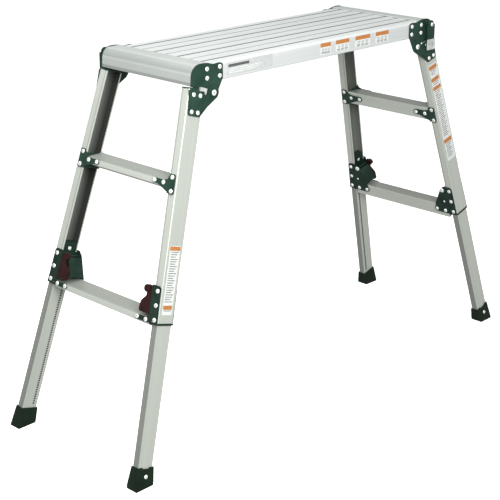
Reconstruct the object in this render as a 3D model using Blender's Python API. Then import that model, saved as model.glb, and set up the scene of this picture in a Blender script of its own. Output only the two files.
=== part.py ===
"""Folding work platform bench: aluminium deck on two folding end frames with telescoping legs.

Metres, +Z up. The deck runs along X, the floor is Z = 0 and the origin is under the deck's centre.
Each end frame is drawn in its own datum: w is the distance out through the frame's plane, y the distance
across the deck and v the distance down the leg from the leg head. A frame hangs on an empty that lies on
its fold axis, and the left frame is the right one turned half a turn about Z.
"""
import math

import bmesh
import bpy
from mathutils import Matrix, Vector

# Driving dimensions
DECK_LENGTH = 1.000          # between the lines where the noses' tops start to round off
DECK_WIDTH = 0.348
DECK_HEIGHT = 1.069
DECK_DEPTH = 0.0515
NOSE_WIDTH = 0.048           # flat top of a nose
NOSE_ROUND = (0.0260, 0.0300)        # how far its rounded edge reaches out and down
NOSE_REACH = 0.0172          # foot of the nose's face, beyond the end line
RAIL_WIDTH = 0.03675
PLANK_COUNT = 3
PLANK_DEPTH = 0.024
PLANK_DROP = 0.0030          # planks and rails, below the tops of the end noses
DECK_WALL = 0.0022
PIVOT_INSET = 0.060          # fold axis, in from the deck's end
PIVOT_DROP = 0.0790          # fold axis, below the deck's top
SPLAY_END = math.radians(16.55)      # end frame, out from vertical
SPLAY_SIDE = math.radians(5.04)      # leg, outward within its frame's plane
LEG_HEAD_X = 0.4919          # leg's centre line at the level of the deck's underside
LEG_WIDTH = 0.055            # across the leg, through the frame
LEG_DEPTH = 0.0272
LEG_WALL = 0.0016
LEG_LIP = 0.0042
LEG_TOP = 0.0127
LEG_BOTTOM = 0.6215
STROKE = 0.3775              # travel of an inner leg, measured down the frame
INNER_WIDTH = 0.0512
INNER_NEAR = -0.0019         # inner leg's outer face, from the leg's outer face
INNER_FAR = -0.0234
INNER_TOP = 0.5300
INNER_BOTTOM = 1.0450
GUIDE_TOP = 0.5030
RACK_OFFSET = -0.0115        # rack groove, off the leg's centre line
UPPER_STEP = 0.2478          # tread level at the frame's mid-plane
LOWER_STEP = 0.6085
STEP_HALF = 0.0274
STEP_OUTER_DEPTH = 0.0165
STEP_INNER_DEPTH = 0.0440
PLATE = 0.0025               # pressed steel brackets
GAP = 0.0003                 # between touching pieces

HALF_LENGTH = DECK_LENGTH / 2
HALF_WIDTH = DECK_WIDTH / 2
DECK_UNDER = DECK_HEIGHT - DECK_DEPTH
PIVOT_X = HALF_LENGTH - PIVOT_INSET
PIVOT_Z = DECK_HEIGHT - PIVOT_DROP
SIN_END, COS_END = math.sin(SPLAY_END), math.cos(SPLAY_END)
TAN_SIDE = math.tan(SPLAY_SIDE)
HEAD_TO_PIVOT = Vector((PIVOT_X - LEG_HEAD_X, PIVOT_Z - DECK_UNDER))
PIVOT_W = COS_END * HEAD_TO_PIVOT.x + SIN_END * HEAD_TO_PIVOT.y
PIVOT_V = SIN_END * HEAD_TO_PIVOT.x - COS_END * HEAD_TO_PIVOT.y

# Layers outside the rails, as distances from the deck's centre plane
DECK_PLATE_IN, DECK_PLATE_OUT = HALF_WIDTH + GAP, HALF_WIDTH + GAP + 0.0027
EAR_IN, EAR_OUT = DECK_PLATE_OUT + GAP, DECK_PLATE_OUT + GAP + 0.0030
PIN_RADIUS = 0.0050

HALF_TURN = Matrix.Rotation(math.pi, 4, "Z")
FRAME_AXIS = Matrix.Translation((PIVOT_X, 0, PIVOT_Z)) @ Matrix.Rotation(-SPLAY_END, 4, "Y")
DATUM = Matrix.Translation((-PIVOT_W, 0, PIVOT_V))


def leg_matrix(side):
    """Datum to leg: origin on the leg's outer face at the head, Y outward, Z up the leg."""
    return Matrix.Translation((0, side * HALF_WIDTH, 0)) @ Matrix.Rotation(side * SPLAY_SIDE, 4, "X")


def outward(v, depth=0.0):
    """Distance from the centre plane of a point on the leg, depth in from its outer face."""
    return HALF_WIDTH + v * TAN_SIDE + depth / math.cos(SPLAY_SIDE)


def along(v):
    """Leg height coordinate of a point v down the frame."""
    return -v / math.cos(SPLAY_SIDE)


# ---------------------------------------------------------------- scene helpers

def clear_scene():
    for obj in list(bpy.data.objects):
        bpy.data.objects.remove(obj, do_unlink=True)
    for coll in list(bpy.data.collections):
        bpy.data.collections.remove(coll)


clear_scene()
BENCH = bpy.data.collections.new("work_platform_bench")
bpy.context.scene.collection.children.link(BENCH)


def material(name, color, roughness, metallic):
    mat = bpy.data.materials.new(name)
    mat.use_nodes = True
    shader = mat.node_tree.nodes["Principled BSDF"]
    shader.inputs["Base Color"].default_value = (*color, 1.0)
    shader.inputs["Roughness"].default_value = roughness
    shader.inputs["Metallic"].default_value = metallic
    mat.diffuse_color = (*color, 1.0)
    return mat


ALUMINIUM = material("anodised_aluminium", (0.66, 0.68, 0.65), 0.35, 0.9)
DECK_METAL = material("deck_aluminium", (0.78, 0.80, 0.79), 0.30, 0.9)
GREEN = material("green_painted_steel", (0.030, 0.065, 0.050), 0.45, 0.2)
BOOT_GREEN = material("green_rubber", (0.012, 0.035, 0.022), 0.6, 0.0)
MAROON = material("maroon_plastic", (0.10, 0.012, 0.014), 0.35, 0.0)
ZINC = material("zinc_plate", (0.62, 0.63, 0.62), 0.35, 1.0)


def evaluated_mesh(obj):
    bpy.context.view_layer.update()
    graph = bpy.context.evaluated_depsgraph_get()
    return bpy.data.meshes.new_from_object(obj.evaluated_get(graph))


def prism(loops, depth):
    """Flat outline, the first loop, with holes, the others, extruded from z = 0 to depth."""
    curve = bpy.data.curves.new("outline", "CURVE")
    curve.dimensions = "2D"
    curve.fill_mode = "BOTH"
    curve.extrude = depth / 2
    for loop in loops:
        spline = curve.splines.new("POLY")
        spline.points.add(len(loop) - 1)
        for point, (x, y) in zip(spline.points, loop):
            point.co = (x, y, 0, 1)
        spline.use_cyclic_u = True
    obj = bpy.data.objects.new("outline", curve)
    BENCH.objects.link(obj)
    mesh = evaluated_mesh(obj)
    bpy.data.objects.remove(obj)
    bm = bmesh.new()
    bm.from_mesh(mesh)
    bmesh.ops.remove_doubles(bm, verts=bm.verts, dist=1e-6)
    bmesh.ops.translate(bm, verts=bm.verts, vec=(0, 0, depth / 2))
    bmesh.ops.recalc_face_normals(bm, faces=bm.faces)
    bm.to_mesh(mesh)
    bm.free()
    return mesh


def moved(mesh, matrix):
    mesh.transform(matrix)
    if matrix.determinant() < 0:
        mesh.flip_normals()
    return mesh


def section_along_x(loops, start, end):
    """Loops in (y, z), extruded along X."""
    turn = Matrix(((0, 0, 1, start), (1, 0, 0, 0), (0, 1, 0, 0), (0, 0, 0, 1)))
    return moved(prism(loops, end - start), turn)


def section_along_y(loops, start, end):
    """Loops in (x, z), extruded along Y."""
    turn = Matrix(((1, 0, 0, 0), (0, 0, -1, end), (0, 1, 0, 0), (0, 0, 0, 1)))
    return moved(prism(loops, end - start), turn)


def section_along_z(loops, start, end):
    return moved(prism(loops, end - start), Matrix.Translation((0, 0, start)))


def plate_across_frame(outline, inner, outer, holes=()):
    """Outline in (y, v) of the frame's plane, extruded along w."""
    loops = [[(y, -v) for y, v in loop] for loop in (outline, *holes)]
    return section_along_x(loops, inner, outer)


def block(low, high):
    bm = bmesh.new()
    bmesh.ops.create_cube(bm, size=1)
    size = [b - a for a, b in zip(low, high)]
    middle = [(a + b) / 2 for a, b in zip(low, high)]
    bmesh.ops.scale(bm, vec=size, verts=bm.verts)
    bmesh.ops.translate(bm, vec=middle, verts=bm.verts)
    mesh = bpy.data.meshes.new("block")
    bm.to_mesh(mesh)
    bm.free()
    return mesh


def disc(radius, start, end, axis, centre, sides=24):
    """Cylinder from start to end along X or Y, about a centre in the other two coordinates."""
    bm = bmesh.new()
    bmesh.ops.create_cone(bm, cap_ends=True, segments=sides, radius1=radius, radius2=radius, depth=end - start)
    middle = (start + end) / 2
    if axis == "X":
        place = Matrix.Translation((middle, *centre)) @ Matrix.Rotation(math.pi / 2, 4, "Y")
    else:
        place = Matrix.Translation((centre[0], middle, centre[1])) @ Matrix.Rotation(math.pi / 2, 4, "X")
    bmesh.ops.transform(bm, matrix=place, verts=bm.verts)
    mesh = bpy.data.meshes.new("disc")
    bm.to_mesh(mesh)
    bm.free()
    return mesh


def combine(base, tools, operation):
    """Boolean the tool meshes into the base mesh one after another."""
    obj = bpy.data.objects.new("work", base)
    BENCH.objects.link(obj)
    helpers = []
    for tool in tools:
        helper = bpy.data.objects.new("tool", tool)
        BENCH.objects.link(helper)
        helpers.append(helper)
        modifier = obj.modifiers.new("combine", "BOOLEAN")
        modifier.operation = operation
        modifier.solver = "EXACT"
        modifier.object = helper
    mesh = evaluated_mesh(obj)
    for item in (obj, *helpers):
        bpy.data.objects.remove(item)
    bm = bmesh.new()
    bm.from_mesh(mesh)
    bmesh.ops.remove_doubles(bm, verts=bm.verts, dist=2e-6)
    bmesh.ops.dissolve_limit(bm, angle_limit=math.radians(0.05), verts=bm.verts, edges=bm.edges)
    bmesh.ops.triangulate(bm, faces=bm.faces)
    bm.to_mesh(mesh)
    bm.free()
    return mesh


def union(base, *tools):
    return combine(base, tools, "UNION")


def cut(base, *tools):
    return combine(base, tools, "DIFFERENCE")


def rounded(points, radii, steps=5):
    """Outline with each corner replaced by an arc of its radius."""
    outline = []
    count = len(points)
    for index, (point, radius) in enumerate(zip(points, radii)):
        corner = Vector(point)
        if radius <= 0:
            outline.append(tuple(corner))
            continue
        back = (Vector(points[index - 1]) - corner).normalized()
        ahead = (Vector(points[(index + 1) % count]) - corner).normalized()
        half_angle = back.angle(ahead) / 2
        tangent = radius / math.tan(half_angle)
        centre = corner + (back + ahead).normalized() * radius / math.sin(half_angle)
        start, finish = corner + back * tangent - centre, corner + ahead * tangent - centre
        sweep = math.atan2(start.x * finish.y - start.y * finish.x, start.dot(finish))
        first = math.atan2(start.y, start.x)
        for step in range(steps + 1):
            angle = first + sweep * step / steps
            outline.append((centre.x + radius * math.cos(angle), centre.y + radius * math.sin(angle)))
    return outline


def inset(points, distance):
    """Convex outline moved inward by a wall thickness."""
    middle = sum((Vector(p) for p in points), Vector((0, 0))) / len(points)
    result = []
    for index, point in enumerate(points):
        corner = Vector(point)
        edges = (corner - Vector(points[index - 1]), Vector(points[(index + 1) % len(points)]) - corner)
        normals = []
        for edge in edges:
            normal = Vector((-edge.y, edge.x)).normalized()
            normals.append(normal if normal.dot(middle - corner) > 0 else -normal)
        offset = (normals[0] + normals[1]).normalized()
        result.append(tuple(corner + offset * distance / offset.dot(normals[0])))
    return result


def circle(centre, radius, sides=20):
    return [(centre[0] + radius * math.cos(2 * math.pi * k / sides),
             centre[1] + radius * math.sin(2 * math.pi * k / sides)) for k in range(sides)]


def arc(centre, radius, start, end, steps=8):
    """Points on an arc, angles in degrees."""
    angles = [math.radians(start + (end - start) * k / steps) for k in range(steps + 1)]
    return [(centre[0] + radius * math.cos(a), centre[1] + radius * math.sin(a)) for a in angles]


def add(name, mesh, mat, parent=None, local=Matrix()):
    mesh.materials.clear()
    mesh.materials.append(mat)
    obj = bpy.data.objects.new(name, mesh)
    mesh.name = name
    BENCH.objects.link(obj)
    obj.parent = parent
    obj.matrix_local = local
    mesh.shade_smooth()
    mesh.set_sharp_from_angle(angle=math.radians(30))
    return obj


def empty(name, matrix, parent=None):
    obj = bpy.data.objects.new(name, None)
    BENCH.objects.link(obj)
    obj.empty_display_size = 0.05
    obj.parent = parent
    obj.matrix_local = matrix
    return obj


MIRROR_Y = Matrix.Diagonal((1, -1, 1, 1))


def sided(mesh, side):
    """Copy of a piece drawn for the back leg, mirrored for the front one."""
    copy = mesh.copy()
    return moved(copy, MIRROR_Y) if side < 0 else copy


def corner_name(end, side):
    """The left frame is turned half a turn, which swaps front and back."""
    behind = side > 0 if end == "right" else side < 0
    return ("back_" if behind else "front_") + end


# ---------------------------------------------------------------- deck

def nose_edge(grow, start, finish, steps):
    """Points up the nose's rounded edge, angles in degrees from level."""
    out, down = NOSE_ROUND
    middle_x, middle_z = HALF_LENGTH + NOSE_REACH - 0.0012 - out, DECK_HEIGHT - down
    angles = [math.radians(start + (finish - start) * k / steps) for k in range(steps + 1)]
    return [(middle_x + (out + grow) * math.cos(a), middle_z + (down + grow) * math.sin(a)) for a in angles]


def make_deck():
    top, under = DECK_HEIGHT - PLANK_DROP, DECK_UNDER
    body_end = HALF_LENGTH - NOSE_WIDTH
    rail = [(HALF_WIDTH, under), (HALF_WIDTH, top), (HALF_WIDTH - RAIL_WIDTH, top), (HALF_WIDTH - RAIL_WIDTH, under)]
    hollow = rounded(inset(rail, DECK_WALL), (0.002, 0.007, 0.001, 0.001), 3)
    rail_loops = [rounded(rail, (0.003, 0.009, 0.001, 0.001)), hollow]
    rail_mesh = section_along_x(rail_loops, GAP - body_end, body_end - GAP)
    add("deck_rail_back", rail_mesh, DECK_METAL)
    add("deck_rail_front", sided(rail_mesh, -1), DECK_METAL)

    inner_width = DECK_WIDTH - 2 * RAIL_WIDTH
    pitch = inner_width / PLANK_COUNT
    half = pitch / 2 - GAP
    groove_half, groove_depth, bevel, drop = 0.0024, 0.0018, 0.0030, 0.0018
    plank = [(-half, top - PLANK_DEPTH), (half, top - PLANK_DEPTH), (half, top - drop), (half - bevel, top),
             (groove_half, top), (groove_half, top - groove_depth), (-groove_half, top - groove_depth),
             (-groove_half, top), (-half + bevel, top), (-half, top - drop)]
    rib = 0.0011
    cell_low, cell_high = top - PLANK_DEPTH + DECK_WALL, top - groove_depth - DECK_WALL
    cells = [[(side * rib, cell_low), (side * (half - DECK_WALL), cell_low), (side * (half - DECK_WALL), cell_high),
              (side * rib, cell_high)] for side in (-1, 1)]
    for index in range(PLANK_COUNT):
        middle = (index - (PLANK_COUNT - 1) / 2) * pitch
        loops = [[(y + middle, z) for y, z in loop] for loop in (plank, *cells)]
        add(f"deck_plank_{index + 1}", section_along_x(loops, GAP - body_end, body_end - GAP), DECK_METAL)

    nose = [(body_end, under), (HALF_LENGTH + NOSE_REACH, under), *nose_edge(0, 0, 90, 9), (body_end, DECK_HEIGHT)]
    nose_mesh = section_along_y([nose, inset(nose, 0.0025)], -HALF_WIDTH, HALF_WIDTH)
    add("deck_nose_right", nose_mesh, DECK_METAL)
    add("deck_nose_left", moved(nose_mesh.copy(), HALF_TURN), DECK_METAL)

    bar_height = top - under - PLANK_DEPTH - 2 * GAP
    for name, middle in (("left", -0.22), ("right", 0.22)):
        bar = [(middle - 0.015, under + GAP), (middle + 0.015, under + GAP),
               (middle + 0.015, under + GAP + bar_height), (middle - 0.015, under + GAP + bar_height)]
        reach = inner_width / 2 - GAP
        mesh = section_along_y([bar, inset(bar, DECK_WALL)], -reach, reach)
        add(f"deck_cross_bar_{name}", mesh, ALUMINIUM)


# ---------------------------------------------------------------- hinges

ARM_PIVOT = (0.4935, DECK_HEIGHT - 0.0150)
ARM_LEFT, ARM_RIGHT = -0.0125, 0.0185
ARM_BOTTOM = DECK_HEIGHT - 0.0930
STOP_EDGE = 0.0140           # top edge of the leg plate's ear
ARM_IN, ARM_OUT = EAR_OUT + 0.0032, EAR_OUT + 0.0105


def deck_plate_mesh(with_lock):
    """Pressed plate riveted to the rail and the nose, with the hole for the fold pivot."""
    drops = [(0.4940, -0.0008), (0.4850, -0.0022), (0.4700, -0.0022), (0.4550, -0.0005), (0.4420, 0.0030),
             (0.4320, 0.0045), (0.4200, 0.0035), (0.4120, 0.0035), (0.4060, 0.0055)]
    points = [(0.4020, DECK_HEIGHT - 0.0095), (0.4020, DECK_HEIGHT - 0.0455), (0.4262, DECK_HEIGHT - 0.0885)]
    points += arc((PIVOT_X, PIVOT_Z), 0.0165, 215, 325)
    points += [(0.4800, DECK_HEIGHT - 0.0600), (0.5178, DECK_HEIGHT - 0.0530), *nose_edge(0.0007, 0, 66, 6)]
    points += [(x, DECK_HEIGHT - drop) for x, drop in drops]
    hole = circle((PIVOT_X, PIVOT_Z), PIN_RADIUS + GAP)
    mesh = section_along_y([points, hole], DECK_PLATE_IN, DECK_PLATE_OUT)
    if with_lock:
        pin = disc(0.0040, DECK_PLATE_OUT - 0.001, ARM_OUT + 0.001, "Y", ARM_PIVOT)
        head = disc(0.0065, ARM_OUT + GAP, ARM_OUT + 0.0022, "Y", ARM_PIVOT)
        mesh = union(mesh, pin, head)
    return mesh


def stop_pad_mesh():
    """Zinc block on the deck plate that the leg plate's top edge closes against, in the frame's datum."""
    top, foot = -0.0040, GAP - STOP_EDGE
    points = [(-0.0255, top), (-0.0255, foot), (-0.0065, foot), (-0.0065, top)]
    pad = section_along_y([points], DECK_PLATE_OUT + GAP, DECK_PLATE_OUT + 0.0050)
    hook = [(-0.0295, top - 0.0006), (-0.0295, -0.0205), (-0.0258, -0.0205), (-0.0230, -0.0100),
            (-0.0230, top - 0.0006)]
    return union(pad, section_along_y([hook], EAR_OUT + GAP, EAR_OUT + 0.0024))


def lock_arm_mesh():
    """Channel-shaped latch arm, drawn about its own pivot."""
    foot = ARM_BOTTOM - ARM_PIVOT[1]
    outline = arc((0, 0), -ARM_LEFT, 0, 180, 12) + [(ARM_LEFT, foot + 0.004), (ARM_LEFT + 0.004, foot),
                                                   (ARM_RIGHT - 0.004, foot), (ARM_RIGHT, foot + 0.004),
                                                   (ARM_RIGHT, -0.0006)]
    front = section_along_y([outline, circle((0, 0), 0.0040 + GAP)], ARM_OUT - 0.0028, ARM_OUT)
    left = block((ARM_LEFT, ARM_IN, foot + 0.004), (ARM_LEFT + 0.0028, ARM_OUT - 0.001, -0.0020))
    right = block((ARM_RIGHT - 0.0028, ARM_IN, foot + 0.004), (ARM_RIGHT, ARM_OUT - 0.001, -0.0015))
    return union(front, left, right)


def lock_claw_mesh():
    """Zinc thumb plate with raised rims over the arm's foot, drawn about the arm's pivot."""
    upper, lower = DECK_HEIGHT - 0.0605 - ARM_PIVOT[1], DECK_HEIGHT - 0.0930 - ARM_PIVOT[1]
    left, right, face, rim = -0.0185, 0.0190, ARM_OUT + 0.0026, ARM_OUT + 0.0044
    points = [(left, lower), (right, lower), (right, upper), (left, upper)]
    slot = [(0.0080, upper - 0.0240), (0.0118, upper - 0.0240), (0.0118, upper - 0.0080), (0.0080, upper - 0.0080)]
    holes = [slot, circle((-0.0105, upper - 0.0150), 0.0026, 12)]
    plate = section_along_y([rounded(points, (0.003,) * 4, 3), *holes], ARM_OUT + GAP, face)
    rims = [block((left + 0.0030, face - 0.0005, lower + 0.0004), (right - 0.0030, rim, lower + 0.0048)),
            block((left + 0.0004, face - 0.0005, lower + 0.0030), (left + 0.0036, rim, upper - 0.0030)),
            block((right - 0.0048, face - 0.0005, lower + 0.0030), (right - 0.0004, rim, upper - 0.0030))]
    return union(plate, *rims)


def leg_plate_mesh():
    """Plate riveted to the leg's outer face, stepped out to an ear that carries the fold pin."""
    lower = [(0.0240, -0.0106), (0.0240, -0.0155), (0.0300, -0.0155), (0.0222, -0.0770), (0.0190, -0.0805),
             (-0.0180, -0.0810), (-0.0215, -0.0785), (-0.0580, -0.0345), (-0.0430, -0.0335), (-0.0285, -0.0172),
             (-0.0040, -0.0160), (-0.0040, -0.0106)]
    on_leg = section_along_y([[(w, z / math.cos(SPLAY_SIDE)) for w, z in lower]], GAP, 0.0033)
    cap = block((-0.0195, -LEG_DEPTH, along(LEG_TOP) + GAP), (0.0285, 0.0018, along(LEG_TOP) + GAP + 0.0030))
    leg_pieces = [moved(mesh, leg_matrix(1)) for mesh in (on_leg, cap)]
    pivot = (PIVOT_W, -PIVOT_V)
    ear_points = arc(pivot, 0.0195, -7, 232, 14) + [(-0.0345, -0.0620), (-0.0280, -0.0600), (-0.0280, -0.0335),
                                                   (-0.0060, -0.0300), (-0.0060, -STOP_EDGE)]
    ear = section_along_y([ear_points], EAR_IN, EAR_OUT)
    boss = disc(0.0120, EAR_OUT - 0.001, EAR_OUT + 0.0018, "Y", pivot)
    pin = disc(PIN_RADIUS, HALF_WIDTH - 0.003, EAR_OUT, "Y", pivot, 20)
    head = disc(0.0075, DECK_PLATE_IN - 0.0030, DECK_PLATE_IN - GAP, "Y", pivot)
    return union(ear, *leg_pieces, boss, pin, head)


# ---------------------------------------------------------------- legs

def outer_leg_mesh():
    """Lipped channel, open toward the middle of the frame."""
    a, d, t, lip = LEG_WIDTH / 2, LEG_DEPTH, LEG_WALL, LEG_LIP
    half = [(a, 0), (a, -d), (a - lip, -d), (a - lip, t - d), (a - t, t - d), (a - t, -t)]
    points = half + [(-x, y) for x, y in reversed(half)]
    radii = (0.0022, 0.0010) + (0,) * 8 + (0.0010, 0.0022)
    return section_along_z([rounded(points, radii, 3)], along(LEG_BOTTOM), along(LEG_TOP))


def collar_mesh():
    """Ring under the outer leg that the inner leg slides through."""
    a, near, far = LEG_WIDTH / 2 + 0.0016, 0.0014, -LEG_DEPTH - 0.0014
    ring = rounded([(a, near), (a, far), (-a, far), (-a, near)], (0.002,) * 4, 3)
    b, near, far = INNER_WIDTH / 2 + GAP, INNER_NEAR + GAP, INNER_FAR - GAP
    hole = [(b, near), (b, far), (-b, far), (-b, near)]
    return section_along_z([ring, hole], along(LEG_BOTTOM + 0.0053), along(LEG_BOTTOM + GAP))


def inner_leg_mesh():
    """Closed tube with the rack groove down the face toward the middle of the frame."""
    b, near, far = INNER_WIDTH / 2, INNER_NEAR, INNER_FAR
    rack, half, depth = RACK_OFFSET, 0.0026, 0.0012
    groove = [(rack + half, far), (rack + half, far + depth), (rack - half, far + depth), (rack - half, far)]
    outline = [(-b, near), (b, near), (b, far), *groove, (-b, far)]
    outline = rounded(outline, (0.002, 0.002, 0.001, 0, 0, 0, 0, 0.001), 3)
    wall = inset([(-b, near), (b, near), (b, far), (-b, far)], 0.0030)
    return section_along_z([outline, wall], along(INNER_BOTTOM), along(INNER_TOP))


def guide_mesh():
    """Plastic guide on top of the inner leg, with an apron down its open side."""
    top = along(GUIDE_TOP)
    plug = block((-0.0253, INNER_FAR, along(INNER_TOP) + GAP), (0.0253, INNER_NEAR, top))
    apron = [(-0.0225, top), (0.0225, top), (0.0225, along(0.5345)), (-0.0225, along(0.5445))]
    face = section_along_y([apron], INNER_FAR - 0.0026, INNER_FAR - GAP)
    rim = block((-0.0225, INNER_FAR - 0.0026, along(INNER_TOP) + GAP), (0.0225, INNER_FAR + 0.001, top))
    return union(plug, rim, face)


FOOT_HALF_X, FOOT_HALF_Y = 0.0295, 0.0202
BOOT_TOP = 1.0050


def boot_mesh():
    """Rubber boot, level underneath, with a pocket for the inner leg."""
    centre_y = outward(DECK_UNDER / COS_END, -LEG_DEPTH / 2)

    def floor_ring(height, grow):
        ring = []
        for sx, sy in ((1, 1), (-1, 1), (-1, -1), (1, -1)):
            x_off = sx * (FOOT_HALF_X + grow)
            v_mid = (DECK_UNDER - height) / COS_END
            w, v = x_off * COS_END, v_mid + x_off * SIN_END
            ring.append(Vector((w, centre_y - height * TAN_SIDE / COS_END + sy * (FOOT_HALF_Y + grow), -v)))
        return ring

    to_datum = leg_matrix(1)
    top = [to_datum @ Vector((w, y, along(BOOT_TOP))) for w, y in
           ((0.0285, 0.0007), (-0.0285, 0.0007), (-0.0285, -0.0264), (0.0285, -0.0264))]
    bm = bmesh.new()
    rings = [[bm.verts.new(p) for p in ring] for ring in
             (floor_ring(0, -0.0012), floor_ring(0.0015, 0), floor_ring(0.0120, -0.0003), top)]
    bm.faces.new(rings[0])
    bm.faces.new(rings[-1])
    for lower, upper in zip(rings, rings[1:]):
        for k in range(4):
            bm.faces.new((lower[k], lower[(k + 1) % 4], upper[(k + 1) % 4], upper[k]))
    bmesh.ops.recalc_face_normals(bm, faces=bm.faces)
    bmesh.ops.triangulate(bm, faces=bm.faces)
    mesh = bpy.data.meshes.new("boot")
    bm.to_mesh(mesh)
    bm.free()
    b = INNER_WIDTH / 2 + GAP
    pocket = block((-b, INNER_FAR - GAP, along(INNER_BOTTOM) - GAP), (b, INNER_NEAR + GAP, along(0.9)))
    notch = block((-0.0120, -0.0100, along(BOOT_TOP + 0.0035)), (0.0120, 0.0100, along(0.9)))
    return cut(mesh, moved(pocket, to_datum), moved(notch, to_datum))


def step_mesh(level, reach):
    """Hollow tread, level on top, square to the frame at the sides."""
    rise = math.tan(SPLAY_END) * STEP_HALF
    outer_top, inner_top = -level - rise, -level + rise
    points = [(STEP_HALF, outer_top), (STEP_HALF, outer_top - STEP_OUTER_DEPTH),
              (-STEP_HALF, inner_top - STEP_INNER_DEPTH), (-STEP_HALF, inner_top)]
    hollow = inset(points, 0.0020)
    return section_along_y([rounded(points, (0.002, 0.001, 0.001, 0.002), 3), hollow], -reach, reach)


SIDE_IN, SIDE_OUT = LEG_WIDTH / 2 + GAP, LEG_WIDTH / 2 + GAP + PLATE


def bridge(upper, lower):
    """Cross plate over the open side of the leg, between two bracket plates."""
    far = -LEG_DEPTH - GAP
    mesh = block((-SIDE_OUT + 0.0002, far - PLATE, along(lower)), (SIDE_OUT - 0.0002, far, along(upper)))
    return moved(mesh, leg_matrix(1))


def upper_bracket_mesh():
    strip = [(0.1900, 0.2385), (0.1935, 0.2840), (0.1890, 0.2885), (0.1780, 0.2880), (0.1300, 0.2695)]
    outer_points = strip + arc((0.1159, 0.2628), 0.0068, 90, 270)
    outer_points += [(0.1500, 0.2560), (0.1640, 0.2515), (0.1700, 0.2400), (0.1715, 0.2360), (0.1860, 0.2350)]
    inner_points = strip + arc((0.1159, 0.2610), 0.0085, 90, 270)
    inner_points += [(0.1500, 0.2515), (0.1660, 0.2465), (0.1700, 0.2365), (0.1860, 0.2350)]
    outer_plate = plate_across_frame(outer_points, SIDE_IN, SIDE_OUT)
    inner_plate = plate_across_frame(inner_points, -SIDE_OUT, -SIDE_IN)
    return union(outer_plate, bridge(0.2420, 0.2850), inner_plate)


LEVER_PIVOT = (0.1790, 0.5414)
LEVER_IN, LEVER_OUT = 0.0215, 0.0300


def housing_mesh():
    """Lock housing: two side plates, a plate over the leg's open side, a sloping wall and the lever's pin."""
    strip = [(0.1880, 0.5265), (0.2120, 0.5265), (0.2180, 0.5320), (0.2270, 0.6210), (0.1990, 0.6210),
             (0.1980, 0.6275)]
    outer_points = strip + arc((0.1500, 0.6225), 0.0065, 90, 270)
    outer_points += [(0.1870, 0.6155), (0.1935, 0.6075), (0.1860, 0.5450), (0.1860, 0.5285)]
    inner_points = strip + arc((0.1500, 0.6180), 0.0095, 90, 270)
    inner_points += [(0.1450, 0.6075), (0.1475, 0.5955), (0.1706, 0.5434), (0.1820, 0.5285)]
    outer_plate = plate_across_frame(outer_points, SIDE_IN, SIDE_OUT)
    inner_plate = plate_across_frame(inner_points, -SIDE_OUT, -SIDE_IN)
    wall_points = [(0.1702, 0.5434), (0.1728, 0.5446), (0.1500, 0.5965), (0.1472, 0.5960)]
    wall = plate_across_frame(wall_points, -SIDE_OUT + 0.0002, 0.0200)
    pin = disc(0.0030, -SIDE_OUT + 0.0005, 0.0255, "X", (LEVER_PIVOT[0], -LEVER_PIVOT[1]), 16)
    return union(outer_plate, bridge(0.5300, 0.5940), inner_plate, wall, pin)


def lever_mesh():
    """Release lever with a round thumb knob, about the lever's pin."""
    outline = [(0.1800, 0.5315), (0.1850, 0.5480), (0.1920, 0.6060), (0.1540, 0.6062), (0.1510, 0.6000),
               (0.1528, 0.5787), (0.1700, 0.5600), (0.1690, 0.5500), (0.1690, 0.5315)]
    body = plate_across_frame(rounded(outline, (0.002, 0, 0.002, 0.003, 0.003, 0.006, 0.004, 0, 0), 3),
                              LEVER_IN, LEVER_OUT)
    knob = disc(0.0103, LEVER_IN - 0.0006, LEVER_OUT + 0.0028, "X", (0.1688, -0.5414))
    hole = disc(0.0030 + GAP, LEVER_IN - 0.002, 0.0262, "X", (LEVER_PIVOT[0], -LEVER_PIVOT[1]), 16)
    mesh = cut(union(body, knob), hole)
    return moved(mesh, Matrix.Translation((0, -LEVER_PIVOT[0], LEVER_PIVOT[1])))


# ---------------------------------------------------------------- assembly

make_deck()
FRAME_MESHES = {
    "leg_hinge_plate": (leg_plate_mesh(), GREEN),
    "upper_step_bracket": (upper_bracket_mesh(), GREEN),
    "leg_lock_housing": (housing_mesh(), GREEN),
}
LEG_MESHES = {"outer_leg": (outer_leg_mesh(), ALUMINIUM), "leg_collar": (collar_mesh(), GREEN)}
INNER_MESHES = {"inner_leg": (inner_leg_mesh(), ALUMINIUM), "leg_guide": (guide_mesh(), GREEN)}
BOOT = boot_mesh()
LEVER = lever_mesh()
ARM = lock_arm_mesh()
CLAW = lock_claw_mesh()

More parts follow.
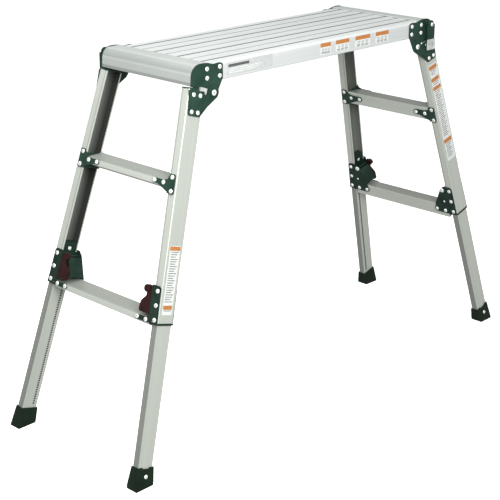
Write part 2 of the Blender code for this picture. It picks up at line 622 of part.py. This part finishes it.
for end, turn in (("right", Matrix()), ("left", HALF_TURN)):
    frame = empty(f"frame_{end}_axis", turn @ FRAME_AXIS)
    add(f"upper_step_{end}", step_mesh(UPPER_STEP, 0.1640), ALUMINIUM, frame, DATUM)
    add(f"lower_step_{end}", step_mesh(LOWER_STEP, 0.1960), ALUMINIUM, frame, DATUM)
    for side in (1, -1):
        corner = corner_name(end, side)
        locks = side < 0
        plate = moved(sided(deck_plate_mesh(locks), side), turn)
        add(f"deck_hinge_plate_{corner}", plate, GREEN)
        if locks:
            pivot = turn @ Matrix.Translation((ARM_PIVOT[0], 0, ARM_PIVOT[1]))
            axis = empty(f"lock_arm_{corner}_axis", pivot)
            add(f"fold_lock_arm_{corner}", sided(ARM, side), GREEN, axis)
            add(f"fold_lock_claw_{corner}", sided(CLAW, side), ZINC, axis)
        else:
            pad = moved(sided(stop_pad_mesh(), side), turn @ FRAME_AXIS @ DATUM)
            add(f"stop_pad_{corner}", pad, ZINC)
        for name, (mesh, mat) in FRAME_MESHES.items():
            add(f"{name}_{corner}", sided(mesh, side), mat, frame, DATUM)
        for name, (mesh, mat) in LEG_MESHES.items():
            add(f"{name}_{corner}", sided(mesh, side), mat, frame, DATUM @ leg_matrix(side))
        slide = empty(f"inner_leg_{corner}_axis", DATUM @ leg_matrix(side), frame)
        for name, (mesh, mat) in INNER_MESHES.items():
            add(f"{name}_{corner}", sided(mesh, side), mat, slide)
        boot = moved(sided(BOOT, side), leg_matrix(side).inverted())
        add(f"foot_boot_{corner}", boot, BOOT_GREEN, slide)
        pivot = Matrix.Translation((0, side * LEVER_PIVOT[0], -LEVER_PIVOT[1]))
        hinge = empty(f"lock_lever_{corner}_axis", DATUM @ pivot, frame)
        add(f"leg_lock_lever_{corner}", sided(LEVER, side), MAROON, hinge)
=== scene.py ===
"""Looks for the work platform bench: materials, rivets, rack slots as painted shadow, labels, camera and
light.
"""
import math

import bmesh
import bpy
from mathutils import Matrix, Vector


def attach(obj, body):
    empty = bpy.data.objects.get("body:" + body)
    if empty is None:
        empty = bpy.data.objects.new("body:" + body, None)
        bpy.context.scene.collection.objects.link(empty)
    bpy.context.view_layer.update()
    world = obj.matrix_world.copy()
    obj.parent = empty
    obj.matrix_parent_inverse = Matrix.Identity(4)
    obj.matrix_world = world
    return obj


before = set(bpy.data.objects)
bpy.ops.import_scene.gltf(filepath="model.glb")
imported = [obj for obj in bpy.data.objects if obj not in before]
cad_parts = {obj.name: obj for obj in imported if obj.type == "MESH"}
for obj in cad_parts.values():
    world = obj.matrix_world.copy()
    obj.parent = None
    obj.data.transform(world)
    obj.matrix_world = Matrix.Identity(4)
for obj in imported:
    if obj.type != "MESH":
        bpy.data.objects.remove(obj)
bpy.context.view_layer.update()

# Dimensions shared with the CAD model, in metres
DECK_HEIGHT = 1.069
DECK_UNDER = 1.0175          # underside, where the legs' datum starts
HALF_WIDTH = 0.174
DECK_TOP = 1.066             # planks and rails, just below the noses
BODY_END = 0.452             # half the length of the planks and rails between the noses
JOINT_Y = (-0.13725, -0.04575, 0.04575, 0.13725)
GROOVE_Y = (-0.0915, 0.0, 0.0915)
SPLAY_END = math.radians(16.55)   # legs outward along the deck
SPLAY_SIDE = math.radians(5.04)   # legs outward across the deck
LEG_HEAD_X = 0.4919
PIVOT = (0.440, 0.990)       # fold hinge, as x and z
DECK_PLATE_OUT = 0.1770      # outer faces of the deck's plate and of the frame's, in y
EAR_OUT = 0.1803
ARM_OUT = EAR_OUT + 0.0105
ARM_PIVOT = (0.4935, DECK_HEIGHT - 0.0150)
SIDE_OUT = 0.0303            # outer faces of the brackets, across the leg
INNER_FAR = -0.0234          # inner leg's face toward the other legs, and half its width
INNER_SIDE = 0.0256
RACK_OFFSET = -0.0115
LEVER_PIVOT = (0.1790, 0.5414)   # as y and distance down the frame
TREAD_DROPS = (0.2478, 0.6085)   # tops of the steps, as distances down the frame

HALF_TURN = Matrix.Rotation(math.pi, 4, "Z")
DATUM = Matrix.Translation((LEG_HEAD_X, 0, DECK_UNDER)) @ Matrix.Rotation(-SPLAY_END, 4, "Y")
ENDS = (("right", Matrix()), ("left", HALF_TURN))
OUTWARD = {"X": Matrix.Rotation(math.pi / 2, 4, "Y"), "-X": Matrix.Rotation(-math.pi / 2, 4, "Y"),
           "Y": Matrix.Rotation(-math.pi / 2, 4, "X"), "-Y": Matrix.Rotation(math.pi / 2, 4, "X")}


def corner_name(end, side):
    """The left frame is the right one turned half a turn, which swaps front and back."""
    behind = side > 0 if end == "right" else side < 0
    return ("back_" if behind else "front_") + end


def leg_matrix(side):
    return Matrix.Translation((0, side * HALF_WIDTH, 0)) @ Matrix.Rotation(side * SPLAY_SIDE, 4, "X")


def along(v):
    """Local z of a place at distance v down the frame, as the leg leans sideways too."""
    return -v / math.cos(SPLAY_SIDE)


def corners():
    """Each leg's end, side and datum."""
    for end, turn in ENDS:
        for side in (1, -1):
            yield end, side, turn @ DATUM


# ---------------------------------------------------------------- materials

class Nodes:
    """Short calls for building a procedural material's node tree."""

    def __init__(self, name):
        self.material = bpy.data.materials.new(name)
        self.material.use_nodes = True
        self.tree = self.material.node_tree
        self.shader = self.tree.nodes["Principled BSDF"]
        self.coords = self.tree.nodes.new("ShaderNodeTexCoord").outputs["Object"]

    def node(self, kind, inputs=(), **settings):
        item = self.tree.nodes.new(kind)
        for key, value in settings.items():
            setattr(item, key, value)
        for key, value in dict(inputs).items():
            if isinstance(value, bpy.types.NodeSocket):
                self.tree.links.new(value, item.inputs[key])
            else:
                item.inputs[key].default_value = value
        return item

    def math(self, operation, a, b=0.0):
        return self.node("ShaderNodeMath", {0: a, 1: b}, operation=operation).outputs[0]

    def dot(self, direction):
        inputs = {0: self.coords, 1: tuple(direction)}
        return self.node("ShaderNodeVectorMath", inputs, operation="DOT_PRODUCT").outputs["Value"]

    def stretched(self, axes, scales):
        """The object's coordinates along three directions, each with its own scale."""
        parts = [self.math("MULTIPLY", self.dot(axis), scale) for axis, scale in zip(axes, scales)]
        return self.node("ShaderNodeCombineXYZ", {0: parts[0], 1: parts[1], 2: parts[2]}).outputs[0]

    def noise(self, vector, scale, detail=2.0, roughness=0.5):
        inputs = {"Vector": vector, "Scale": scale, "Detail": detail, "Roughness": roughness}
        return self.node("ShaderNodeTexNoise", inputs).outputs[0]

    def between(self, value, low, high, out_low, out_high):
        inputs = {0: value, 1: low, 2: high, 3: out_low, 4: out_high}
        return self.node("ShaderNodeMapRange", inputs).outputs[0]

    def tint(self, value, stops):
        ramp = self.node("ShaderNodeValToRGB", {0: value})
        while len(ramp.color_ramp.elements) < len(stops):
            ramp.color_ramp.elements.new(0.5)
        for element, (place, color) in zip(ramp.color_ramp.elements, stops):
            element.position = place
            element.color = (*color, 1.0)
        return ramp.outputs[0]

    def bump(self, height, distance, strength=1.0):
        inputs = {"Height": height, "Distance": distance, "Strength": strength}
        normal = self.node("ShaderNodeBump", inputs).outputs[0]
        self.tree.links.new(normal, self.shader.inputs["Normal"])

    def connect(self, socket, value):
        self.tree.links.new(value, self.shader.inputs[socket])

    def fixed(self, socket, value):
        self.shader.inputs[socket].default_value = value

    def shade(self, color, factor):
        """The color multiplied by a value."""
        grey = self.node("ShaderNodeCombineXYZ", {0: factor, 1: factor, 2: factor}).outputs[0]
        return self.node("ShaderNodeVectorMath", {0: color, 1: grey}, operation="MULTIPLY").outputs[0]

    def within(self, value, low, high, soft=0.0004):
        """1 where the value lies between two limits, 0 elsewhere."""
        return self.math("MULTIPLY", self.between(value, low - soft, low + soft, 0.0, 1.0),
                         self.between(value, high - soft, high + soft, 1.0, 0.0))

    def unless(self, mask, factor):
        """1 away from the mask, and the factor inside it."""
        return self.between(mask, 0.0, 1.0, 1.0, factor)


def extruded_aluminium(name, axes, tone, roughness, darken=None, line=0.05):
    """Satin anodised extrusion. axes are the length, then the two directions across it, and darken gives
    a value to multiply its colour by."""
    n = Nodes(name)
    lines = n.noise(n.stretched(axes, (0.6, 260, 260)), 1.0, 3.0, 0.6)
    broad = n.noise(n.stretched(axes, (0.4, 30, 30)), 1.0, 1.0)
    clouds = n.noise(n.coords, 9.0, 3.0)
    mix = n.math("ADD", n.math("MULTIPLY", lines, 0.55), n.math("MULTIPLY", broad, 0.45))
    dark = tuple(c * (1 - line) for c in tone)
    light = tuple(min(1.0, c * (1 + line)) for c in tone)
    color = n.tint(mix, ((0.30, dark), (0.70, light)))
    n.connect("Base Color", n.shade(color, darken(n)) if darken else color)
    rough = n.math("ADD", n.between(lines, 0.3, 0.7, roughness - 0.05, roughness + 0.05),
                   n.between(clouds, 0.3, 0.7, -0.02, 0.03))
    n.connect("Roughness", rough)
    n.fixed("Metallic", 0.55)
    n.bump(lines, 0.00006)
    return n.material


def coated_steel(name, dark, light, roughness, grain, depth):
    n = Nodes(name)
    fine = n.noise(n.coords, grain, 2.0)
    broad = n.noise(n.coords, 22.0, 3.0)
    n.connect("Base Color", n.tint(broad, ((0.35, dark), (0.68, light))))
    n.connect("Roughness", n.between(broad, 0.3, 0.7, roughness - 0.06, roughness + 0.08))
    n.fixed("Specular IOR Level", 0.22)
    n.bump(fine, depth)
    return n.material


def cast_zinc(name, tone, roughness, metallic=0.8):
    n = Nodes(name)
    grain = n.noise(n.coords, 480.0, 3.0, 0.65)
    broad = n.noise(n.coords, 60.0, 2.0)
    dark = tuple(c * 0.80 for c in tone)
    n.connect("Base Color", n.tint(broad, ((0.35, dark), (0.65, tone))))
    n.connect("Roughness", n.between(grain, 0.3, 0.7, roughness - 0.08, roughness + 0.10))
    n.fixed("Metallic", metallic)
    n.bump(grain, 0.00006)
    return n.material


def printed_film(name, tone, roughness=0.35):
    n = Nodes(name)
    clouds = n.noise(n.coords, 130.0, 2.0)
    pale = tuple(min(1.0, c * 1.06) for c in tone)
    n.connect("Base Color", n.tint(clouds, ((0.35, tuple(c * 0.94 for c in tone)), (0.65, pale))))
    n.connect("Roughness", n.between(clouds, 0.3, 0.7, roughness - 0.05, roughness + 0.05))
    return n.material


LEG_TONE = (0.60, 0.635, 0.575)
DECK_TONE = (0.76, 0.795, 0.785)
NOSE_TONE = (0.55, 0.585, 0.555)
GREEN = coated_steel("green_coated_steel", (0.0105, 0.030, 0.0205), (0.018, 0.046, 0.032),
                     0.36, 900.0, 0.00004)
# a darker copy of the green steel for the lock housings: painted shade
SHADED_GREEN = coated_steel("shaded_green_coated_steel", (0.0060, 0.0170, 0.0115), (0.0115, 0.030, 0.021),
                          0.38, 900.0, 0.00004)
GREEN_PLASTIC = coated_steel("green_plastic", (0.0060, 0.0170, 0.0115), (0.010, 0.026, 0.018),
                             0.42, 700.0, 0.00004)
BOOT = coated_steel("green_rubber", (0.0020, 0.0085, 0.0035), (0.0045, 0.0160, 0.0070),
                    0.50, 520.0, 0.00010)
MAROON = coated_steel("maroon_plastic", (0.015, 0.0040, 0.0035), (0.029, 0.0065, 0.0060),
                      0.34, 600.0, 0.00003)
ZINC = cast_zinc("zinc_plate", (0.66, 0.69, 0.66), 0.42, 0.5)
RIVET = cast_zinc("rivet_aluminium", (0.92, 0.95, 0.92), 0.30, 0.35)
MANDREL = cast_zinc("rivet_mandrel", (0.22, 0.23, 0.22), 0.45)
ORANGE = printed_film("orange_film", (0.40, 0.155, 0.040))
WHITE_FILM = printed_film("white_film", (0.57, 0.59, 0.57))
GREY_FILM = printed_film("grey_film", (0.40, 0.42, 0.41))
DARK_FILM = printed_film("dark_film", (0.075, 0.08, 0.08))
RACK_SHADOW = printed_film("rack_shadow", (0.030, 0.036, 0.030), 0.7)

DECK_AXES = ((1, 0, 0), (0, 1, 0), (0, 0, 1))
ACROSS_AXES = ((0, 1, 0), (1, 0, 0), (0, 0, 1))


def paint(node, material):
    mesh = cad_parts[node].data
    mesh.materials.clear()
    mesh.materials.append(material)


def deck_groove_shade(n):
    """Painted shade on the deck's top: it darkens toward each joint and, less, toward the groove in the
    middle of each plank.
    """
    half_pitch = JOINT_Y[2]
    place = n.math("PINGPONG", n.dot((0, 1, 0)), half_pitch)
    groove = n.between(place, 0.0022, 0.0050, 0.50, 1.0)
    joint = n.between(place, half_pitch - 0.0060, half_pitch - 0.0030, 1.0, 0.22)
    lines = n.math("MULTIPLY", groove, joint)
    on_top = n.within(n.dot((0, 0, 1)), DECK_TOP - 0.0022, DECK_TOP + 0.001)
    return n.math("ADD", n.math("MULTIPLY", lines, on_top), n.math("SUBTRACT", 1.0, on_top))


def nose_shade_bands(n):
    """Painted shade: darker bands along the nose's rounded top edge and its lower edge."""
    height = n.dot((0, 0, 1))
    upper = n.unless(n.within(height, DECK_HEIGHT - 0.0200, DECK_HEIGHT - 0.0020, 0.0018), 0.70)
    lower = n.unless(n.within(height, DECK_UNDER - 0.002, DECK_UNDER + 0.0085, 0.0015), 0.66)
    return n.math("MULTIPLY", upper, lower)


def tread_shade(n):
    """Painted shadow of the deck: the ribbed tops of the treads are darker than their faces."""
    height = n.dot((0, 0, 1))
    shades = []
    for drop in TREAD_DROPS:
        top = DECK_UNDER - math.cos(SPLAY_END) * drop
        shades.append(n.unless(n.within(height, top - 0.0009, top + 0.002), 0.62))
    return n.math("MULTIPLY", *shades)


def leg_shade(turn, origin):
    """Inside of the channel dark with painted shade, darkest toward one side, and a line of painted shade
    along each edge of its sides.
    """
    def darken(n):
        across = n.math("SUBTRACT", n.dot(turn.col[0]), turn.col[0].dot(origin))
        depth = n.math("SUBTRACT", n.dot(turn.col[1]), turn.col[1].dot(origin))
        inner = n.math("MULTIPLY", n.within(across, -0.0268, 0.0268, 0.0002),
                       n.within(n.math("ABSOLUTE", depth), 0.0008, 0.0264, 0.0002))
        edge = n.math("MULTIPLY", n.between(n.math("ABSOLUTE", across), 0.0272, 0.0274, 0.0, 1.0),
                      n.within(n.math("ABSOLUTE", depth), 0.0215, 0.0262, 0.0005))
        depth_of_shade = n.between(across, -0.0268, 0.0268, 0.10, 0.50)
        return n.math("MULTIPLY", n.unless(inner, depth_of_shade), n.unless(edge, 0.74))
    return darken


def inner_leg_shade(turn, origin):
    """The inner leg's narrow sides are darker."""
    def darken(n):
        across = n.math("SUBTRACT", n.dot(turn.col[0]), turn.col[0].dot(origin))
        return n.between(n.math("ABSOLUTE", across), INNER_SIDE - 0.0010, INNER_SIDE - 0.0003, 1.0, 0.50)
    return darken


def paint_nodes():
    plank = extruded_aluminium("plank_aluminium", DECK_AXES, DECK_TONE, 0.34, deck_groove_shade)
    rail = extruded_aluminium("rail_aluminium", DECK_AXES, DECK_TONE, 0.38, deck_groove_shade)
    nose = extruded_aluminium("nose_aluminium", ACROSS_AXES, NOSE_TONE, 0.36, nose_shade_bands)
    step = extruded_aluminium("step_aluminium", ACROSS_AXES, LEG_TONE, 0.40, tread_shade)
    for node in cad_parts:
        if node.startswith("deck_plank"):
            paint(node, plank)
        elif node.startswith("deck_rail"):
            paint(node, rail)
        elif node.startswith("deck_nose"):
            paint(node, nose)
        elif node.startswith(("deck_cross_bar", "upper_step_left", "upper_step_right", "lower_step")):
            paint(node, step)
        elif node.startswith("foot_boot"):
            paint(node, BOOT)
        elif node.startswith("leg_lock_lever"):
            paint(node, MAROON)
        elif node.startswith(("stop_pad", "fold_lock_claw")):
            paint(node, ZINC)
        elif node.startswith(("leg_guide", "leg_collar")):
            paint(node, GREEN_PLASTIC)
        # the housings take the darker green: painted shade
        elif node.startswith("leg_lock_housing"):
            paint(node, SHADED_GREEN)
        elif not node.startswith(("outer_leg", "inner_leg")):
            paint(node, GREEN)
    for end, side, datum in corners():
        corner = corner_name(end, side)
        turn = (datum @ leg_matrix(side)).to_3x3()
        axes = [turn.col[2], turn.col[0], turn.col[1]]
        origin = (datum @ leg_matrix(side)).translation
        outer = extruded_aluminium(f"leg_aluminium_{corner}", axes, LEG_TONE, 0.36, leg_shade(turn, origin))
        paint(f"outer_leg_{corner}", outer)
        inner = extruded_aluminium(f"inner_leg_aluminium_{corner}", axes, LEG_TONE, 0.36,
                                   inner_leg_shade(turn, origin))
        paint(f"inner_leg_{corner}", inner)


paint_nodes()

# ---------------------------------------------------------------- pieces


class Piece:
    """One object built up from many small shapes, riding on one body."""

    def __init__(self, name, body, materials, slot):
        self.name, self.body, self.materials, self.slot = name, body, materials, slot
        self.bm = bmesh.new()

    def lathe(self, matrix, profile, index=0, sides=20):
        """Profile of (radius, height), turned about the matrix's Z. It starts and ends on the axis."""
        rings = []
        for radius, height in profile:
            if radius <= 0:
                rings.append([self.bm.verts.new(matrix @ Vector((0, 0, height)))])
                continue
            angles = [2 * math.pi * k / sides for k in range(sides)]
            ring = [Vector((radius * math.cos(a), radius * math.sin(a), height)) for a in angles]
            rings.append([self.bm.verts.new(matrix @ point) for point in ring])
        flip = matrix.to_3x3().determinant() < 0
        for low, high in zip(rings, rings[1:]):
            for k in range(sides):
                a, b = low[k % len(low)], low[(k + 1) % len(low)]
                c, d = high[(k + 1) % len(high)], high[k % len(high)]
                loop = list(dict.fromkeys((a, b, c, d)))
                if len(loop) < 3:
                    continue
                face = self.bm.faces.new(loop[::-1] if flip else loop)
                face.smooth = True
                face.material_index = index

    def slab(self, matrix, low, high, index=0, chamfer=0.0):
        """Box between two corners in the matrix's space, with its top edges chamfered."""
        (x0, y0, z0), (x1, y1, z1) = low, high
        c = chamfer
        levels = [(z0, 0.0), (z1 - c, 0.0), (z1, c)] if c else [(z0, 0.0), (z1, 0.0)]
        rings = []
        for z, grow in levels:
            west, east, south, north = x0 + grow, x1 - grow, y0 + grow, y1 - grow
            ring = ((west, south), (east, south), (east, north), (west, north))
            rings.append([self.bm.verts.new(matrix @ Vector((x, y, z))) for x, y in ring])
        faces = [rings[0][::-1], rings[-1]]
        for lower, upper in zip(rings, rings[1:]):
            faces += [(lower[k], lower[(k + 1) % 4], upper[(k + 1) % 4], upper[k]) for k in range(4)]
        flip = matrix.to_3x3().determinant() < 0
        for loop in faces:
            face = self.bm.faces.new(list(loop)[::-1] if flip else loop)
            face.material_index = index

    def finish(self):
        mesh = bpy.data.meshes.new(self.name)
        self.bm.to_mesh(mesh)
        self.bm.free()
        for material in self.materials:
            mesh.materials.append(material)
        mesh.set_sharp_from_angle(angle=math.radians(35))
        obj = bpy.data.objects.new(self.name, mesh)
        bpy.context.scene.collection.objects.link(obj)
        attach(obj, self.body)
        return obj


def rivet(piece, place, radius=0.0062, height=0.0022):
    """Blind rivet: domed head with its mandrel's end showing in the middle."""
    hole = radius * 0.34
    foot = -0.0001
    head = [(0, foot), (radius, foot), (radius, height * 0.30), (radius * 0.93, height * 0.62),
            (radius * 0.72, height * 0.90), (radius * 0.50, height), (hole, height),
            (hole * 0.92, height * 0.72), (0, height * 0.72)]
    piece.lathe(place, head)
    pin = [(0, height * 0.70), (hole * 0.66, height * 0.70), (hole * 0.60, height * 0.92), (0, height * 0.95)]
    piece.lathe(place, pin, 1, 12)


def facing(matrix, point, direction):
    return matrix @ Matrix.Translation(point) @ OUTWARD[direction]


RIVET_MATERIALS = [RIVET, MANDREL]


def make_deck_rivets():
    piece = Piece("deck_rivets", "deck", RIVET_MATERIALS, "zinc_plate")
    for end, turn in ENDS:
        for side in (1, -1):
            direction = "Y" if side > 0 else "-Y"
            for x in (0.4136, 0.4600):
                for drop in (0.0146, 0.0386):
                    point = (x, side * DECK_PLATE_OUT, DECK_HEIGHT - drop)
                    rivet(piece, facing(turn, point, direction))
            if side < 0:
                point = (ARM_PIVOT[0], side * (ARM_OUT + 0.0022), ARM_PIVOT[1])
                rivet(piece, facing(turn, point, direction), 0.0062, 0.0018)
                stud = (0.4660, side * DECK_PLATE_OUT, 0.9960)
                rivet(piece, facing(turn, stud, direction), 0.0030, 0.0016)
    piece.finish()


def make_frame_rivets():
    shared = ((0.180, 0.244), (0.184, 0.280), (0.208, 0.540), (0.2115, 0.578), (0.216, 0.616))
    outer = ((0.151, 0.2625), (0.117, 0.2627), (0.184, 0.6220), (0.151, 0.6224))
    inner = ((0.152, 0.261), (0.117, 0.261), (0.184, 0.6185), (0.150, 0.618))
    for end, turn in ENDS:
        piece = Piece(f"frame_rivets_{end}", f"frame_{end}", RIVET_MATERIALS, "zinc_plate")
        datum = turn @ DATUM
        for side in (1, -1):
            leg = datum @ leg_matrix(side)
            out = "Y" if side > 0 else "-Y"
            for w in (-0.0115, 0.0115):
                proud = 0.0044 if w < 0 else 0.0033
                rivet(piece, facing(leg, (w, side * proud, along(0.0262)), out), 0.0060)
                rivet(piece, facing(leg, (w, side * 0.0033, along(0.0705)), out), 0.0060)
            pivot = turn @ Matrix.Translation((PIVOT[0], side * (EAR_OUT + 0.0018), PIVOT[1])) @ OUTWARD[out]
            rivet(piece, pivot, 0.0080, 0.0028)
            for y, v in shared + outer:
                rivet(piece, facing(datum, (SIDE_OUT, side * y, -v), "X"))
            for y, v in shared + inner:
                rivet(piece, facing(datum, (-SIDE_OUT, side * y, -v), "-X"))
            y, v = LEVER_PIVOT
            rivet(piece, facing(datum, (-SIDE_OUT, side * y, -v), "-X"), 0.0078, 0.0028)
            rivet(piece, facing(datum, (-SIDE_OUT, side * 0.184, -0.583), "-X"), 0.0034, 0.0016)
        piece.finish()


def make_leg_details():
    """Rivets of the boot and the guide, the rack's slots down the inner leg as dark slabs of painted shadow,
    and the bumper above.
    """
    pitch, first, last = 0.0070, 0.549, 0.998
    for end, side, datum in corners():
        corner = corner_name(end, side)
        leg = datum @ leg_matrix(side)
        out, back = ("Y", "-Y") if side > 0 else ("-Y", "Y")
        piece = Piece(f"inner_leg_rivets_{corner}", f"leg_{corner}", RIVET_MATERIALS, "zinc_plate")
        tilt = Matrix.Rotation(side * math.radians(7), 4, "X")
        place = leg @ Matrix.Translation((0, side * 0.0040, along(1.029))) @ tilt @ OUTWARD[out]
        rivet(piece, place, 0.0058)
        rivet(piece, facing(leg, (0, side * (INNER_FAR - 0.0026), along(0.5205)), back), 0.0055, 0.0011)
        piece.finish()
        # dark slabs over the rack's slots: painted shadow in the slot openings
        rack = Piece(f"rack_slot_shadows_{corner}", f"leg_{corner}", [RACK_SHADOW], "zinc_plate")
        mirror = leg @ Matrix.Diagonal((1, side, 1, 1))
        for k in range(int((last - first) / pitch)):
            v = first + k * pitch
            low = (RACK_OFFSET - 0.0034, INNER_FAR - 0.0002, along(v + pitch * 0.52))
            rack.slab(mirror, low, (RACK_OFFSET + 0.0034, INNER_FAR + 0.0010, along(v)))
        rack.finish()
        bumper = Piece(f"leg_bumper_{corner}", f"frame_{end}", [GREEN_PLASTIC], "green_plastic")
        bumper.slab(mirror, (-0.0190, -0.0020, along(0.0094)), (0.0150, 0.0018, along(0.0060)), 0, 0.0006)
        bumper.finish()


def make_painted_deck_shade():
    """Painted shade: dark strips in the joints and grooves of the deck, dark patches at the openings where
    the joints meet the noses, and a dark strip along each nose seam.
    """
    piece = Piece("deck_shade_strips", "deck", [DARK_FILM, GREY_FILM], "deck_aluminium")
    place = Matrix.Translation((0, 0, DECK_TOP))
    # dark strips at the bottom of each joint and dark patches where the joints open at the noses: painted
    # shade
    for y in JOINT_Y:
        piece.slab(place, (-BODY_END, y - 0.0012, -0.0024), (BODY_END, y + 0.0012, -0.0013))
        for end in (-1, 1):
            low, high = sorted((end * BODY_END, end * (BODY_END - 0.0075)))
            piece.slab(place, (low, y - 0.0042, -0.0006), (high, y + 0.0042, 0.0002))
    # grey strips at the bottom of each plank's middle groove: painted shade
    for y in GROOVE_Y:
        piece.slab(place, (-BODY_END, y - 0.0023, -0.0019), (BODY_END, y + 0.0023, -0.0014), 1)
    # a dark strip along each nose seam: painted shadow under the nose's lip
    for end in (-1, 1):
        low, high = sorted((end * (BODY_END + 0.0002), end * (BODY_END - 0.0016)))
        piece.slab(place, (low, -0.1730, -0.0006), (high, 0.1730, 0.0004), 0)
    piece.finish()


make_deck_rivets()
make_frame_rivets()
make_leg_details()
make_painted_deck_shade()

# ---------------------------------------------------------------- labels, all without lettering


def label(piece, matrix, left, top, right, bottom, index, lift=0.0002):
    """Film on the matrix's XZ plane, facing its -Y."""
    turned = matrix @ Matrix.Rotation(math.pi / 2, 4, "X")
    piece.slab(turned, (left, bottom, -0.0001), (right, top, lift), index)


def make_rail_labels():
    piece = Piece("rail_labels", "deck", [WHITE_FILM, ORANGE, GREY_FILM, DARK_FILM], "deck_aluminium")
    place = Matrix.Translation((0, -HALF_WIDTH, DECK_HEIGHT))
    label(piece, place, -0.385, -0.0095, -0.208, -0.0440, 2)
    label(piece, place, -0.379, -0.0150, -0.300, -0.0225, 3, 0.0004)
    for row in range(3):
        top = -0.0270 - row * 0.0050
        label(piece, place, -0.379, top, -0.250 - 0.012 * row, top - 0.0018, 0, 0.0004)
    for left, right in ((-0.009, 0.036), (0.058, 0.118), (0.146, 0.214), (0.240, 0.302)):
        label(piece, place, left, -0.0100, right, -0.0215, 1)
        label(piece, place, left, -0.0215, right, -0.0425, 0)
        middle = (left + right) / 2
        for k in (-1, 0, 1):
            x = middle + k * (right - left) * 0.28
            label(piece, place, x - 0.0050, -0.0245, x + 0.0050, -0.0330, 2, 0.0004)
            label(piece, place, x - 0.0062, -0.0355, x + 0.0062, -0.0372, 3, 0.0004)
            label(piece, place, x - 0.0062, -0.0388, x + 0.0040, -0.0402, 3, 0.0004)
    piece.finish()


def make_leg_labels():
    strips = {"left": ((0.4175, 0.5990, -0.0180, 0.0180, 0), (0.4190, 0.4300, -0.0180, 0.0180, 1),
                       (0.5740, 0.5850, -0.0160, 0.0160, 1)),
              "right": ((0.0960, 0.4300, -0.0195, 0.0230, 0),
                        (0.1000, 0.1125, -0.0190, 0.0195, 1), (0.1400, 0.1525, -0.0190, 0.0195, 1),
                        (0.1700, 0.1820, -0.0190, 0.0195, 1), (0.3540, 0.3675, -0.0190, 0.0200, 1))}
    text_pitch = 0.0062
    text = {"left": ((0.4330, 0.5720), (0.5870, 0.5990)),
            "right": ((0.1155, 0.1390), (0.1555, 0.1690), (0.1860, 0.3520), (0.3710, 0.4260))}
    for end, turn in ENDS:
        side = -1 if end == "right" else 1
        # both labels face the front, where the left frame's own x runs the other way
        datum = turn @ DATUM @ leg_matrix(side)
        front = datum if side < 0 else datum @ HALF_TURN
        films = [WHITE_FILM, ORANGE, DARK_FILM]
        piece = Piece(f"leg_labels_{end}", f"frame_{end}", films, "anodised_aluminium")
        flip = 1 if side < 0 else -1
        for top, bottom, a, b, index in strips[end]:
            left, right = sorted((flip * a, flip * b))
            label(piece, front, left, along(top), right, along(bottom), index, 0.0004 if index else 0.0002)
        for top, bottom in text[end]:
            for row in range(int((bottom - top) / text_pitch)):
                v = top + row * text_pitch
                reach = 0.014 - 0.004 * ((row * 7) % 3)
                label(piece, front, -0.014, along(v), reach, along(v + 0.0018), 2, 0.0004)
        piece.finish()


make_rail_labels()
make_leg_labels()

# ---------------------------------------------------------------- camera, floor and light


def make_camera():
    azimuth, elevation, roll = math.radians(-46.391), math.radians(19.954), math.radians(0.297)
    target = Vector((-0.05230, 0.05532, 0.39405))
    back = Vector((math.sin(azimuth) * math.cos(elevation), -math.cos(azimuth) * math.cos(elevation),
                   math.sin(elevation)))
    data = bpy.data.cameras.new("camera")
    data.sensor_width = 36.0
    data.lens = 1277.75 / 500 * 36.0
    data.clip_end = 50
    camera = bpy.data.objects.new("camera", data)
    bpy.context.scene.collection.objects.link(camera)
    right = Vector((math.cos(azimuth), math.sin(azimuth), 0))
    up = back.cross(right)
    turned_right = right * math.cos(roll) + up * math.sin(roll)
    turned_up = back.cross(turned_right)
    basis = Matrix((turned_right, turned_up, back)).transposed().to_4x4()
    camera.matrix_world = Matrix.Translation(target + back * 3.94412) @ basis
    bpy.context.scene.camera = camera


def make_floor():
    bm = bmesh.new()
    bmesh.ops.create_circle(bm, cap_ends=True, radius=45, segments=64)
    mesh = bpy.data.meshes.new("floor")
    bm.to_mesh(mesh)
    bm.free()
    n = Nodes("pale_floor")
    clouds = n.noise(n.coords, 0.8, 2.0)
    n.connect("Base Color", n.tint(clouds, ((0.3, (0.90, 0.90, 0.90)), (0.7, (0.92, 0.92, 0.92)))))
    n.fixed("Roughness", 0.9)
    n.fixed("Specular IOR Level", 0.0)
    n.fixed("Emission Color", (1.0, 1.0, 1.0, 1.0))
    n.fixed("Emission Strength", 0.70)
    mesh.materials.append(n.material)
    floor = bpy.data.objects.new("floor", mesh)
    bpy.context.scene.collection.objects.link(floor)
    floor.visible_diffuse = False
    floor.visible_glossy = False


def make_light():
    world = bpy.data.worlds.new("studio")
    bpy.context.scene.world = world
    world.use_nodes = True
    background = world.node_tree.nodes["Background"]
    background.inputs["Color"].default_value = (1.0, 1.0, 1.0, 1.0)
    background.inputs["Strength"].default_value = 0.40
    # each lamp: its place, what it faces, its size and its power
    lamps = (("key", (-1.5, -2.2, 2.2), (-0.2, 0, 0.7), 1.6, 145),
             ("side", (-3.2, 0.6, 1.6), (0, 0, 0.6), 1.6, 13),
             ("top", (-0.9, 0.1, 3.0), (-0.2, 0, 1.0), 1.4, 50))
    for name, place, target, size, power in lamps:
        data = bpy.data.lights.new(name, "AREA")
        data.size = size
        data.energy = power
        lamp = bpy.data.objects.new(name, data)
        lamp.location = place
        toward = Vector(target) - Vector(place)
        lamp.rotation_euler = toward.to_track_quat("-Z", "Y").to_euler()
        bpy.context.scene.collection.objects.link(lamp)
    bpy.context.scene.view_settings.view_transform = "Standard"


make_camera()
make_floor()
make_light()
